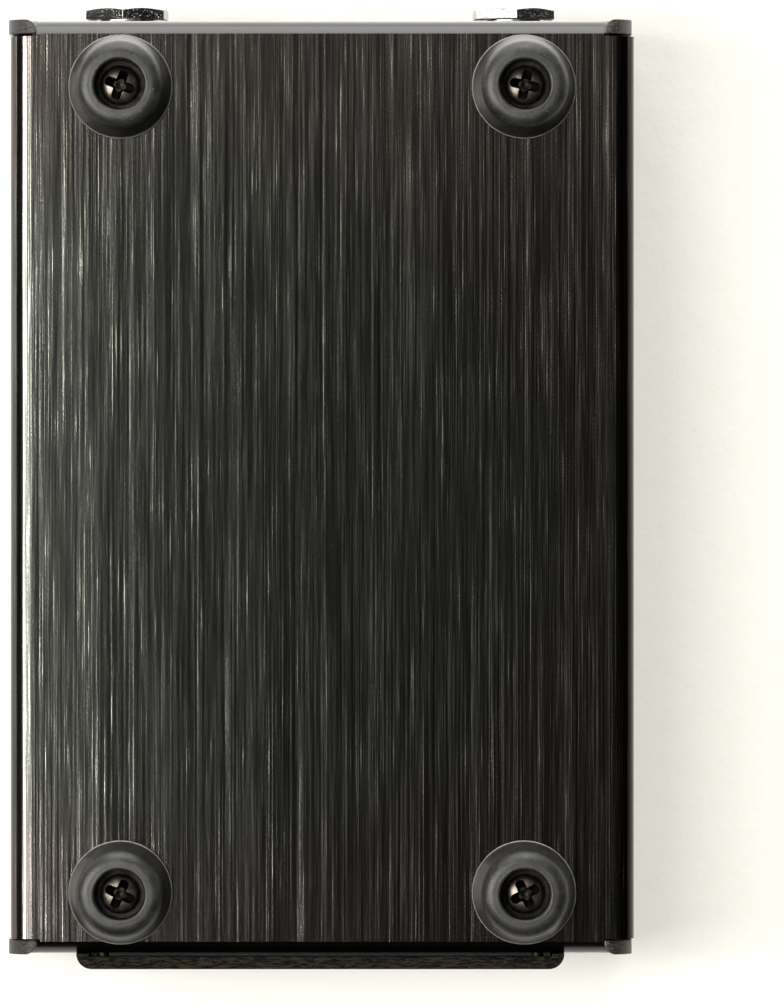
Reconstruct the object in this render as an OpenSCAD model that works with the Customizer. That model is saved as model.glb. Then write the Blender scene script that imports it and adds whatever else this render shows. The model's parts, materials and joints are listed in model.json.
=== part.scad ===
// Passive direct injection box: a clamshell case of two bent sheets on rubber feet,
// two jack sockets at one end, a raised plate with a pin socket and two slide switches
// at the other, and a board with a transformer hung from the roof.
// +Z is up, the feet stand on z = 0, the jack sockets face +Y.

/* [Case] */
// Width of each shell
case_w = 94.5; // [94.2:0.1:130]
// Length over the end panels
case_l = 141.5; // [141:0.5:190]
// Height of the case without its feet
case_h = 40; // [40:0.5:60]
// Thickness of the top shell's sheet
sheet_t = 2.1; // [1.7:0.05:2.6]
// Thickness of the bottom shell's sheet
base_t = 2; // [1.6:0.05:2.5]
// Outer radius of every bend
bend_r = 3.3; // [2.8:0.1:4]
// How far the two shells sit out of line, from play in the screw holes
shell_play = 0.3; // [0:0.05:0.5]
// Gap between a side wall and the sheet that it meets
seam = 0.35; // [0.1:0.05:0.5]
// Width of a corner tab
tab_w = 4.2; // [3.6:0.1:5]
// Radius of a corner tab's inner end
tab_r = 1.7; // [1:0.1:2]
// How far the lips turn in beneath the bottom plate
lip_l = 17; // [15:0.5:24]
// How much longer the bottom plate is than the side walls, at each end
tongue = 0.4; // [0.2:0.05:0.6]

/* [Feet] */
// Height of a foot
foot_h = 9; // [7.5:0.1:12]
// Diameter of a foot at its rim
foot_d = 15.6; // [13:0.1:18]
// How much a foot's radius shrinks from its rim to its shoulder
foot_taper = 1.1; // [0.5:0.1:1.3]
// Radius of a foot's soft shoulder
shoulder_r = 2; // [1:0.1:2.2]
// Diameter of the recess for the screw
foot_hole_d = 7.6; // [7.2:0.1:8]
// Rubber left under the screw's washer
foot_web = 3.8; // [2.5:0.1:4.5]
// How far a foot's centre is from the end of the case
foot_inset = 9.85; // [9.8:0.05:13]
// Distance between the feet across the case
foot_gap = 61; // [50:0.1:76]
// How far the four feet sit off centre, towards the output end
foot_slip = 0.3; // [0:0.05:0.5]
// Height of the thin ridge left by the mould
flash_t = 0.12; // [0.05:0.01:0.2]

/* [Foot screws] */
// Thread diameter
screw_d = 3; // [2.5:0.5:3]
// Head diameter
head_d = 6; // [5:0.1:6.2]
// Head height
head_h = 2; // [1.6:0.1:2.4]
// Length under the head
screw_l = 12; // [11:0.5:14]
// Thickness of the washer in a foot
foot_washer_t = 0.8; // [0.5:0.1:1]

/* [Jack sockets] */
// Distance between the two sockets
jack_gap = 59.2; // [56:0.1:64]
// Height of the sockets above the bottom plate
jack_up = 18; // [17:0.5:20]
// Bore for the plug
jack_bore_d = 6.5; // [6.4:0.05:6.7]
// Outer diameter of the threaded bush
bush_d = 9.525; // [9:0.005:10]
// Nut across its flats
nut_af = 12; // [11.5:0.1:14]
// Nut thickness
nut_t = 1.7; // [1.2:0.1:2.5]
// Metal washer thickness
washer_t = 0.5; // [0.4:0.1:1]
// Thickness of the insulating washer outside the panel
insulator_t = 0.3; // [0.2:0.1:1.5]

/* [Output end] */
// Width of the raised plate
plate_w = 74; // [72:0.5:78]
// Height of the raised plate
plate_h = 34; // [33:0.5:34]
// Thickness of the raised plate
plate_t = 1.9; // [1.5:0.1:2.2]
// Thickness of the gasket behind it
gasket_t = 0.45; // [0.3:0.05:1]
// Bore of the pin socket
socket_bore_d = 19.2; // [19:0.1:19.6]
// Wall of the pin socket
socket_wall = 2.2; // [1.5:0.1:2.4]
// Contact pin diameter
pin_d = 2.4; // [2.2:0.1:2.5]
// Contact pin length
pin_l = 13; // [12:0.5:14]
// Distance of the two switches from the middle of the plate
switch_off = 25; // [24.5:0.1:25.5]

/* [Slide switches] */
// Travel of a slider
travel = 3.2; // [2:0.1:4]
// Length of a slider's knob along its travel
knob_l = 4.2; // [3.5:0.1:5]
// Width of a slider's knob
knob_w = 3.8; // [3:0.1:4.2]
// Clearance around a slider
slider_gap = 0.15; // [0.1:0.01:0.25]
// How far the pad slider sits below the face of the input end
pad_recess = 0.3; // [0.2:0.1:0.8]
// How far the other sliders sit below the face of the raised plate
knob_recess = 0.5; // [0.3:0.1:0.8]

/* [Circuit board] */
// Board width
board_w = 76; // [72:0.5:82]
// Board length
board_l = 80; // [76:0.5:86]
// Board thickness
board_t = 1.6; // [1:0.1:2]
// Height of the standoffs
standoff_h = 6; // [5:0.5:8]

/* [Hidden] */
$fn = 64;
eps = 0.05;

// Colours
sheet_black = [0.07, 0.07, 0.07];
brushed_black = [0.16, 0.16, 0.15];
rubber_grey = [0.27, 0.28, 0.27];
screw_black = [0.1, 0.08, 0.07];
nickel = [0.75, 0.74, 0.7];
steel = [0.6, 0.6, 0.6];
plastic_black = [0.12, 0.12, 0.12];

// Levels
z_floor = foot_h;                     // outer face of the bottom plate
z_lip = z_floor + base_t;             // outer face of the lips
z_top = z_floor + case_h;             // outer face of the top plate
z_roof = z_top - sheet_t;             // inner face of the top plate
z_bend = z_lip + bend_r;              // where the lower bends begin
tab_lift = 0.1;                       // the corner tabs end this far above the bottom plate
z_tab = z_floor + tab_lift;
z_jack = z_floor + jack_up;
plate_drop = 1.2;                     // the raised plate sits this far below mid-panel
z_plate = (z_bend + z_top - bend_r) / 2 - plate_drop;  // middle of the raised plate
y_end = case_l / 2;                   // outer face of an end panel
y_in = y_end - sheet_t;               // inner face of an end panel
wall_l = 2 * (y_in - seam);           // length of the side walls
lip_w = case_w - 2 * (tab_w - tab_r);   // width of the lips and their bends
lip_flat_w = case_w - 2 * (bend_r + shell_play);    // width where a lip lies between the walls

// Ends of the whole object along Y, and the shift that centres it on the origin
nut_reach = insulator_t + washer_t + nut_t;
plate_reach = gasket_t + plate_t;
y_shift = (plate_reach - nut_reach) / 2;

// Feet and their screws
foot_x = foot_gap / 2;
foot_y = y_end - foot_inset;
screw_room = 0.6;                     // how much wider a foot screw's hole is than its thread
rim_h = 1;                            // height of a foot's rim above the bottom plate
shoulder_z = foot_h - shoulder_r;     // height of its shoulder above the bottom plate
z_head = foot_h - foot_web - foot_washer_t;     // underside of the screw head
head_turns = [20, 12, 24, 64];        // each screw stopped at its own angle
clinch_h = 3;
thread_gap = 0.05;

// Jack sockets
jack_x = jack_gap / 2;
jack_hole_r = bush_d / 2 + 0.8;
jack_body_w = 16;
jack_body_h = 14;
jack_body_l = 25;
jack_bush_in = 8;                     // how far the bush reaches into the body
inner_washer_t = 1;                   // insulating washer behind the panel
jack_back = -sheet_t - inner_washer_t;  // front face of a jack's body
jack_bore_in = 22;                    // depth of the plug's bore behind the panel
nut_turns = [3, -4.5];

// Output socket
socket_r = socket_bore_d / 2 + socket_wall;
socket_deep = pin_l + 3;              // depth of the socket behind the panel
flange_w = 26;
flange_h = 2 * (z_plate - z_bend - 0.3);
flange_t = 2;
insert_t = 3;
pin_circle = 4.8;                     // radius of the circle of pins
pin_root_d = pin_d + 0.4;             // the pin inside the insert and behind it
cup_l = 5;                            // solder cup behind the insert
socket_screw = [9.5, 12];
plate_screw = [plate_w / 2 - 4, plate_h / 2 - 4];

// Slide switches
window_l = knob_l + travel + 2 * slider_gap;
window_w = knob_w + 2 * slider_gap;
frame_l = 22;
frame_w = 9;
frame_t = 0.8;
frame_deep = 6;
frame_screw = 9;
switch_base_t = 1.4;
slider_l = 8;
slider_h = 3;

// Board
z_board = z_roof - standoff_h - board_t;        // lower face of the board
board_y = -2;
board_hole = [board_w / 2 - 4, board_l / 2 - 4];
core_w = 28;
core_d = 14;
core_h = 22;
core_leg = 4.5;
core_mid = 8;
z_core = z_board - 1 - core_h;

// ---- placing ----

module in_case() translate([0, y_shift, 0]) children();
module in_top() in_case() translate([shell_play / 2, 0, 0]) children();
module in_bottom() in_case() translate([-shell_play / 2, -shell_play / 3, 0]) children();

// Local Z points out of the end panel, and z = 0 is its outer face
module input_end(x, z) in_top() translate([x, y_end, z]) rotate([-90, 0, 0]) children();
module output_end(x, z) in_top() translate([x, -y_end, z]) rotate([90, 0, 0]) children();

function foot_at(sx, sy) = [sx * foot_x, sy * foot_y - foot_slip, 0];
module at_feet() for (sx = [-1, 1], sy = [-1, 1]) in_bottom() translate(foot_at(sx, sy)) children();
module at_corners(p) for (sx = [-1, 1], sy = [-1, 1]) translate([sx * p[0], sy * p[1], 0]) children();

module ring(r_out, r_in, h) difference() {
    cylinder(r = r_out, h = h);
    translate([0, 0, -eps]) cylinder(r = r_in, h = h + 2 * eps);
}
module block(size) translate([-size[0] / 2, -size[1] / 2, 0]) cube(size);

// A countersunk screw, its head's face at z = 0 and its shank down
module countersunk(r_head, r_shank, l) {
    cone_h = r_head - r_shank;
    rotate_extrude() polygon([[0, 0], [r_head, 0], [r_shank, -cone_h], [r_shank, -l], [0, -l]]);
}
// The hole for it, with the same countersink a little larger
module countersunk_hole(r_head, r_shank, l) translate([0, 0, eps]) {
    g = 0.1;
    cone_h = r_head - r_shank;
    rotate_extrude() polygon([[0, eps], [r_head + g, eps], [r_head + g, 0], [r_shank + g, -cone_h],
        [r_shank + g, -l], [0, -l]]);
}

// ---- case ----

// Outline of a sheet bent up at both edges, outer radius r, open at the top
module round_bottom(w, h, r) {
    translate([-w / 2, r]) square([w, h - r]);
    translate([-w / 2 + r, 0]) square([w - 2 * r, h]);
    for (s = [-1, 1]) translate([s * (w / 2 - r), r]) circle(r);
}
module u_sheet(w, h, r, t) difference() {
    round_bottom(w, h, r);
    translate([0, t]) round_bottom(w - 2 * t, h, r - t);
}

module bottom_shell() color(brushed_black) in_bottom() difference() {
    wall_h = case_h - sheet_t - seam;
    union() {
        translate([0, wall_l / 2, z_floor]) rotate([90, 0, 0]) linear_extrude(wall_l)
            u_sheet(case_w, wall_h, bend_r, base_t);
        translate([0, 0, z_floor]) block([case_w - 2 * tab_w - 2 * seam, wall_l + 2 * tongue, base_t]);
    }
    for (sx = [-1, 1], sy = [-1, 1]) translate(foot_at(sx, sy) + [0, 0, z_floor - eps])
        cylinder(d = screw_d + screw_room, h = base_t + 2 * eps);
}

// The end panel's lower bend and its lip, for the end at +Y
module lip_sheet() {
    difference() {
        translate([y_end - bend_r, z_bend]) circle(bend_r);
        translate([y_end - bend_r, z_bend]) circle(bend_r - sheet_t);
        translate([y_end - 2 * bend_r - 1, z_lip - 1]) square([bend_r + 1, 2 * bend_r + 2]);
        translate([y_end - bend_r - 1, z_bend]) square([bend_r + 2, bend_r + 1]);
    }
    translate([y_end - lip_l, z_lip]) square([lip_l - bend_r, sheet_t]);
}
// A corner tab seen from above, for the corner at +X +Y
module tab_plan() {
    x0 = case_w / 2 - tab_w;
    translate([x0, y_in]) square([tab_w, sheet_t - tab_r]);
    translate([x0 + tab_r, y_in]) square([tab_w - tab_r, sheet_t]);
    intersection() {
        translate([x0 + tab_r, y_end - tab_r]) circle(tab_r);
        translate([x0, y_in]) square([tab_w, sheet_t]);
    }
}
module tab() intersection() {
    translate([0, 0, z_tab]) linear_extrude(z_bend - z_tab) tab_plan();
    translate([0, y_end + 1, z_tab]) rotate([90, 0, 0]) linear_extrude(sheet_t + 2)
        round_bottom(case_w, case_h, tab_w);
}
module top_shell() color(sheet_black) in_top() difference() {
    union() {
        translate([-case_w / 2, 0, z_top]) rotate([90, 0, 90]) linear_extrude(case_w)
            mirror([0, 1]) u_sheet(case_l, z_top - z_bend, bend_r, sheet_t);
        for (s = [0, 1]) mirror([0, s, 0]) {
            difference() {
                translate([-lip_w / 2, 0, 0]) rotate([90, 0, 90]) linear_extrude(lip_w) lip_sheet();
                // clears the bends of the bottom shell
                for (m = [0, 1]) mirror([m, 0, 0]) translate([lip_flat_w / 2, 0, z_lip - 1])
                    cube([lip_w, y_in, bend_r + 2]);
            }
            for (m = [0, 1]) mirror([m, 0, 0]) tab();
        }
    }
    top_shell_holes();
}
// Every hole through the end panels and the lips, in the top shell's own place
module top_shell_holes() {
    deep = sheet_t + 2;
    for (sx = [-1, 1], sy = [-1, 1]) translate(foot_at(sx, sy) + [-shell_play, -shell_play / 3, z_lip - 1])
        cylinder(d = screw_d + screw_room, h = deep);
    translate([0, y_end + 1, 0]) rotate([90, 0, 0]) {
        for (s = [-1, 1]) translate([s * jack_x, z_jack, 0]) cylinder(r = jack_hole_r, h = deep);
        translate([0, z_jack, 0]) block([window_l, window_w, deep]);
    }
    translate([0, y_end, z_jack]) rotate([-90, 0, 0]) switch_holes();
    translate([0, -y_end, z_plate]) rotate([90, 0, 0]) {
        translate([0, 0, -deep]) cylinder(r = socket_r + 0.3, h = deep + 1);
        for (s = [-1, 1]) translate([s * switch_off, 0, 0]) {
            translate([0, 0, -deep]) block([window_l, window_w, deep + 1]);
            switch_holes();
        }
        at_corners(plate_screw) translate([0, 0, -deep]) cylinder(r = 1.25 + thread_gap, h = deep + 1);
        for (s = [-1, 1]) translate([s * socket_screw[0], s * socket_screw[1], -deep])
            cylinder(r = 1.6, h = deep + 1);
    }
}
module switch_holes() for (s = [-1, 1]) translate([s * frame_screw, 0, 0])
    countersunk_hole(1.9, 1, sheet_t + 1);

// ---- feet ----

module foot() color(rubber_grey) in_bottom() difference() {
    side_r = foot_d / 2 - foot_taper;
    // the profile is drawn from the bottom plate down
    translate([0, 0, z_floor]) mirror([0, 0, 1]) rotate_extrude() {
        square([foot_d / 2, rim_h]);
        polygon([[0, 0], [foot_d / 2, rim_h], [side_r, shoulder_z], [0, shoulder_z]]);
        square([side_r - shoulder_r, foot_h]);
        intersection() {
            translate([side_r - shoulder_r, shoulder_z]) circle(shoulder_r);
            translate([0, shoulder_z - eps]) square([side_r, foot_h]);
        }
        translate([foot_d / 2 - 1, rim_h - 0.2]) square([1 + flash_t, 0.2]);
    }
    translate([0, 0, -eps]) cylinder(d = foot_hole_d, h = foot_h - foot_web + eps);
    cylinder(d = screw_d + 0.5, h = foot_h + 1);
}
module foot_1() translate(foot_at(1, 1)) foot();
module foot_2() translate(foot_at(-1, 1)) foot();
module foot_3() translate(foot_at(1, -1)) foot();
module foot_4() translate(foot_at(-1, -1)) foot();

module foot_washers() color(steel) at_feet() translate([0, 0, z_head])
    ring(foot_hole_d / 2 - 0.1, screw_d / 2 + 0.15, foot_washer_t);

// A pan head with a cross recess, facing down
module foot_screw() {
    dome = head_d * 0.9;
    difference() {
        union() {
            intersection() {
                translate([0, 0, z_head - head_h]) cylinder(d = head_d, h = head_h);
                translate([0, 0, z_head - head_h + dome]) sphere(dome);
            }
            translate([0, 0, z_head - eps]) cylinder(d = screw_d, h = screw_l + eps);
        }
        translate([0, 0, z_head - head_h - 1]) {
            for (a = [0, 90]) rotate(a) block([3.4, 0.85, 2.1]);
            cylinder(r1 = 1.5, r2 = 0.5, h = 2.3);
        }
    }
}
module foot_screws() color(screw_black) for (i = [0:3]) in_bottom()
    translate(foot_at(i % 2 == 0 ? 1 : -1, i < 2 ? 1 : -1)) rotate(head_turns[i]) foot_screw();

module clinch_nuts() color(steel) at_feet() translate([0, 0, z_lip + sheet_t])
    ring(screw_d + 0.2, screw_d / 2 + thread_gap, clinch_h);

// ---- jack sockets, drawn with z = 0 on the panel's outer face ----

module bush() color(nickel) translate([0, 0, jack_back - jack_bush_in])
    ring(bush_d / 2, jack_bore_d / 2, nut_reach - jack_back + jack_bush_in);
module nut(turn) color(nickel) translate([0, 0, insulator_t + washer_t]) rotate(turn) intersection() {
    difference() {
        rotate(30) cylinder(r = nut_af / sqrt(3), h = nut_t, $fn = 6);
        translate([0, 0, -eps]) cylinder(r = bush_d / 2 + thread_gap, h = nut_t + 2 * eps);
    }
    rotate_extrude() polygon([[0, 0], [nut_af * 0.6, 0], [nut_af * 0.6, nut_t * 0.7],
        [nut_af * 0.48, nut_t], [0, nut_t]]);
}
washer_r = max(nut_af / 2 - 0.2, bush_d / 2 + 0.6);
module washer() color(nickel) translate([0, 0, insulator_t]) ring(washer_r, bush_d / 2 + 0.1, washer_t);
// A shoulder washer outside and a flat one inside
module insulators() color(plastic_black) {
    ring(washer_r + 0.2, bush_d / 2 + 0.1, insulator_t);
    translate([0, 0, -sheet_t]) ring(jack_hole_r - 0.1, bush_d / 2 + 0.1, sheet_t + eps);
    translate([0, 0, jack_back]) ring(7, bush_d / 2 + 0.1, inner_washer_t - 0.1);
}
module jack_body() color(plastic_black) difference() {
    translate([0, 0, jack_back - jack_body_l]) block([jack_body_w, jack_body_h, jack_body_l]);
    translate([0, 0, jack_back - jack_bush_in]) cylinder(r = bush_d / 2 + thread_gap, h = jack_bush_in + eps);
    translate([0, 0, jack_back - jack_bore_in]) cylinder(d = jack_bore_d + 1, h = jack_bore_in);
    for (s = [-1, 1]) translate([0, s * contact_off, jack_back - jack_body_l - eps])
        block([contact_w + 0.3, contact_t + 0.3, jack_body_l - jack_bush_in - 1]);
}
contact_off = 5.2;
contact_w = 3;
contact_t = 0.4;
contact_tail = 4;
module jack_contacts() color(nickel) for (s = [-1, 1]) translate([0, s * contact_off, 0]) {
    translate([0, 0, jack_back - jack_body_l - contact_tail])
        block([contact_w, contact_t, jack_body_l - jack_bush_in - 2 + contact_tail]);
}
module input_bush() input_end(jack_x, z_jack) bush();
module input_nut() input_end(jack_x, z_jack) nut(nut_turns[1]);
module input_washer() input_end(jack_x, z_jack) washer();
module input_insulators() input_end(jack_x, z_jack) insulators();
module input_body() input_end(jack_x, z_jack) jack_body();
module input_contacts() input_end(jack_x, z_jack) jack_contacts();
module thru_bush() input_end(-jack_x, z_jack) bush();
module thru_nut() input_end(-jack_x, z_jack) nut(nut_turns[0]);
module thru_washer() input_end(-jack_x, z_jack) washer();
module thru_insulators() input_end(-jack_x, z_jack) insulators();
module thru_body() input_end(-jack_x, z_jack) jack_body();
module thru_contacts() input_end(-jack_x, z_jack) jack_contacts();

// ---- output end ----

// The holes that the raised plate and the gasket share
module plate_openings(l) {
    cylinder(r = socket_r + 0.2, h = l);
    for (s = [-1, 1]) translate([s * switch_off, 0, 0]) block([window_l, window_w, l]);
}
// A plate whose two ends are bent back to the panel
module output_plate() color(sheet_black) output_end(0, z_plate) difference() {
    translate([0, plate_h / 2, 0]) rotate([90, 0, 0]) linear_extrude(plate_h) difference() {
        translate([0, plate_reach]) mirror([0, 1]) intersection() {
            round_bottom(plate_w, plate_reach + 1, plate_reach);
            translate([-plate_w / 2, 0]) square([plate_w, plate_reach]);
        }
        translate([-plate_w / 2 + plate_t, -eps]) square([plate_w - 2 * plate_t, gasket_t + eps]);
    }
    translate([0, 0, -eps]) plate_openings(plate_reach + 1);
    at_corners(plate_screw) translate([0, 0, plate_reach]) countersunk_hole(2.3, 1.25, plate_reach + 1);
    for (s = [-1, 1]) translate([s * socket_screw[0], s * socket_screw[1], plate_reach])
        countersunk_hole(2.8, 1.5, plate_reach + 1);
}
module output_gasket() color(plastic_black) output_end(0, z_plate) difference() {
    block([plate_w - 2 * plate_t - 0.4, 2 * (z_plate - z_bend) - 0.6, gasket_t]);
    translate([0, 0, -eps]) plate_openings(gasket_t + 1);
    at_corners(plate_screw) translate([0, 0, -eps]) cylinder(r = 1.5, h = gasket_t + 1);
    for (s = [-1, 1]) translate([s * socket_screw[0], s * socket_screw[1], -eps])
        cylinder(r = 1.8, h = gasket_t + 1);
}
module output_plate_screws() color(screw_black) output_end(0, z_plate) at_corners(plate_screw)
    translate([0, 0, plate_reach]) countersunk(2.3, 1.25, 6);

module socket_shell() color(nickel) output_end(0, z_plate) difference() {
    union() {
        translate([0, 0, -sheet_t - socket_deep]) cylinder(r = socket_r, h = socket_deep + sheet_t + plate_reach - 0.15);
        translate([0, 0, -sheet_t - flange_t]) block([flange_w, flange_h, flange_t]);
    }
    translate([0, 0, -sheet_t - socket_deep - eps]) cylinder(d = socket_bore_d, h = socket_deep + sheet_t + plate_reach + 1);
    for (s = [-1, 1]) translate([s * socket_screw[0], s * socket_screw[1], -sheet_t - flange_t - eps])
        cylinder(r = 1.5 + thread_gap, h = flange_t + 2 * eps);
}
module at_pins() for (a = [30, 150, 270]) rotate(a) translate([pin_circle, 0, 0]) children();
module socket_insert() color(plastic_black) output_end(0, z_plate) difference() {
    translate([0, 0, -sheet_t - socket_deep]) cylinder(d = socket_bore_d - 0.02, h = insert_t);
    at_pins() translate([0, 0, -sheet_t - socket_deep - eps]) cylinder(d = pin_root_d + 0.02, h = insert_t + 1);
}
module socket_pins() color(nickel) output_end(0, z_plate) at_pins() difference() {
    tip = pin_d / 2;
    z_face = -sheet_t - socket_deep + insert_t;     // where the pin leaves the insert
    union() {
        translate([0, 0, z_face - insert_t - cup_l]) cylinder(d = pin_root_d, h = insert_t + cup_l);
        translate([0, 0, z_face]) cylinder(d = pin_d, h = pin_l - tip);
        translate([0, 0, z_face + pin_l - tip]) sphere(tip);
    }
    translate([0, 0, z_face - insert_t - cup_l - eps]) cylinder(d = pin_d - 0.8, h = cup_l - 2);
}
module socket_screws() color(screw_black) output_end(0, z_plate) for (s = [-1, 1])
    translate([s * socket_screw[0], s * socket_screw[1], plate_reach]) countersunk(2.8, 1.5, 8);

// ---- slide switches, drawn with z = 0 on the panel's inner face ----

module switch_frame() color(steel) difference() {
    union() {
        translate([0, 0, -frame_t]) block([frame_l, frame_w, frame_t]);
        for (s = [-1, 1]) translate([0, s * (frame_w - frame_t) / 2, -frame_deep])
            block([frame_l - 8, frame_t, frame_deep]);
    }
    translate([0, 0, -frame_t - eps]) block([window_l, window_w, frame_t + 2 * eps]);
    for (s = [-1, 1]) translate([s * frame_screw, 0, -frame_t - eps])
        cylinder(r = 1 + thread_gap, h = frame_t + 2 * eps);
}
module switch_base() color([0.45, 0.3, 0.16])
    translate([0, 0, -frame_deep]) block([frame_l - 8, frame_w - 2 * frame_t, switch_base_t]);
module switch_terminals() color(nickel) for (x = [-4, 0, 4], y = [-2, 2])
    translate([x, y, -frame_deep - 4]) block([0.5, 1.4, 4]);
// Rests at the -X end of its travel; out is how far its knob reaches beyond the inner face
module slider(out) color(plastic_black) translate([-travel / 2, 0, 0]) {
    translate([0, 0, -frame_t - slider_gap - slider_h]) block([slider_l, frame_w - 2 * frame_t - 2 * slider_gap, slider_h]);
    difference() {
        translate([0, 0, -frame_t - slider_gap - eps]) block([knob_l, knob_w, out + frame_t + slider_gap + eps]);
        // finger grooves
        for (i = [-1:1]) translate([i * knob_l / 4, 0, out - 0.4]) block([0.4, knob_w + 1, 1]);
    }
}
module pad_place() input_end(0, z_jack) translate([0, 0, -sheet_t]) children();
module ground_place() output_end(switch_off, z_plate) translate([0, 0, -sheet_t]) children();
module polarity_place() output_end(-switch_off, z_plate) translate([0, 0, -sheet_t]) children();
knob_out = sheet_t + plate_reach - knob_recess;
module pad_frame() pad_place() switch_frame();
module pad_base() pad_place() switch_base();
module pad_slider() pad_place() slider(sheet_t - pad_recess);
module pad_terminals() pad_place() switch_terminals();
module ground_frame() ground_place() switch_frame();
module ground_base() ground_place() switch_base();
module ground_slider() ground_place() slider(knob_out);
module ground_terminals() ground_place() switch_terminals();
module polarity_frame() polarity_place() switch_frame();
module polarity_base() polarity_place() switch_base();
module polarity_slider() polarity_place() slider(knob_out);
module polarity_terminals() polarity_place() switch_terminals();
module switch_screw_pair() color(screw_black) for (s = [-1, 1]) translate([s * frame_screw, 0, sheet_t])
    countersunk(1.9, 1, sheet_t + frame_t + 1);
module switch_screws() {
    pad_place() switch_screw_pair();
    ground_place() switch_screw_pair();
    polarity_place() switch_screw_pair();
}

// ---- circuit board ----

module on_board() in_top() translate([0, board_y, z_board]) children();
module circuit_board() color([0.1, 0.32, 0.18]) on_board() difference() {
    block([board_w, board_l, board_t]);
    at_corners(board_hole) translate([0, 0, -eps]) cylinder(r = 1.5, h = board_t + 1);
}
module standoffs() color(nickel) on_board() at_corners(board_hole) translate([0, 0, board_t]) difference() {
    cylinder(r = 2.6, h = standoff_h);
    translate([0, 0, -eps]) cylinder(r = 1.25 + thread_gap, h = standoff_h - 1);
}
module board_screws() color(steel) on_board() at_corners(board_hole) difference() {
    union() {
        translate([0, 0, -1.5]) cylinder(r = 2.3, h = 1.5);
        cylinder(r = 1.25, h = board_t + standoff_h - 2);
    }
    for (a = [0, 90]) rotate(a) translate([0, 0, -2.5]) block([2.4, 0.6, 1.8]);
}

// The core's face seen along Y: a block with two windows
module transformer_core() color([0.3, 0.3, 0.32]) in_top() translate([0, board_y + core_d / 2, z_core])
    rotate([90, 0, 0]) linear_extrude(core_d) difference() {
        translate([-core_w / 2, 0]) square([core_w, core_h]);
        for (s = [-1, 1]) translate([s * (core_w / 2 - core_leg + core_mid / 2) / 2 - core_window / 2, core_leg])
            square([core_window, core_h - 2 * core_leg]);
    }
core_window = core_w / 2 - core_leg - core_mid / 2;
bobbin_t = 0.8;
bobbin_h = core_h - 2 * core_leg - 0.2;
module around_leg(grow, h) difference() {
    block([core_mid + 2 * grow[1], core_d + 2 * grow[1], h]);
    translate([0, 0, -eps]) block([core_mid + 2 * grow[0], core_d + 2 * grow[0], h + 2 * eps]);
}
module at_leg() in_top() translate([0, board_y, z_core + core_leg + 0.1]) children();
module transformer_bobbin() color([0.85, 0.83, 0.75]) at_leg() {
    around_leg([0.1, bobbin_t], bobbin_h);
    around_leg([0.1, core_window - 0.2], bobbin_t);
    translate([0, 0, bobbin_h - bobbin_t]) around_leg([0.1, core_window - 0.2], bobbin_t);
}
module transformer_winding() color([0.65, 0.38, 0.12]) at_leg() translate([0, 0, bobbin_t])
    around_leg([bobbin_t, core_window - 0.7], bobbin_h - 2 * bobbin_t);
clamp_t = 0.8;
module transformer_clamp() color(steel) in_top() translate([0, board_y, 0]) {
    difference() {
        translate([0, 0, z_core - clamp_t]) block([core_w + 2 * clamp_t, core_d - 4, z_board - z_core + clamp_t]);
        translate([0, 0, z_core]) block([core_w, core_d, z_board - z_core + 1]);
    }
    for (s = [-1, 1]) translate([s * (core_w / 2 + 3), 0, z_board - clamp_t]) block([6, core_d - 4, clamp_t]);
}

resistor_x = [-30, -25, 25, 30];
resistor_y = [-20, 0, 18];
lead_d = 0.6;
module at_resistors() on_board() for (x = resistor_x, y = resistor_y) translate([x, y, 0]) children();
module resistors() color([0.75, 0.66, 0.48]) at_resistors() translate([0, -3.2, -1.6]) rotate([-90, 0, 0])
    cylinder(r = 1.2, h = 6.4);
module resistor_leads() color(nickel) at_resistors() for (s = [0, 1]) mirror([0, s, 0]) {
    translate([0, 3.2, -1.6]) rotate([-90, 0, 0]) cylinder(d = lead_d, h = 1.8 + lead_d / 2);
    translate([0, 5, -1.6]) cylinder(d = lead_d, h = 1.6);
}
module capacitors() color([0.55, 0.12, 0.1]) on_board() for (x = [-12, 0, 12])
    translate([x, board_l / 2 - 12, -7.5]) block([7.2, 4, 7.5]);

// ---- wires ----

function unit(v) = v / norm(v);
function tangent(p, i) = unit(p[min(i + 1, len(p) - 1)] - p[max(i - 1, 0)]);
// A smooth curve through four control points, as n + 1 points
function curve(a, b, c, d, n) = [for (i = [0:n]) let (t = i / n, u = 1 - t)
    u * u * u * a + 3 * u * u * t * b + 3 * u * t * t * c + t * t * t * d];
module tube(p, r, sides = 8) {
    n = len(p);
    rings = [for (i = [0:n - 1]) let (t = tangent(p, i), x = unit(cross([1, 0.2, 0.1], t)), y = cross(t, x))
        for (k = [0:sides - 1]) p[i] + r * (cos(360 * k / sides) * x + sin(360 * k / sides) * y)];
    walls = [for (i = [0:n - 2], k = [0:sides - 1]) let (j = (k + 1) % sides)
        each [[i * sides + k, (i + 1) * sides + j, i * sides + j],
              [i * sides + k, (i + 1) * sides + k, (i + 1) * sides + j]]];
    polyhedron(rings, concat([[for (k = [0:sides - 1]) k]], walls,
        [[for (k = [sides - 1:-1:0]) (n - 1) * sides + k]]), convexity = 4);
}
wire_r = 0.7;
wire_rings = 14;
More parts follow.
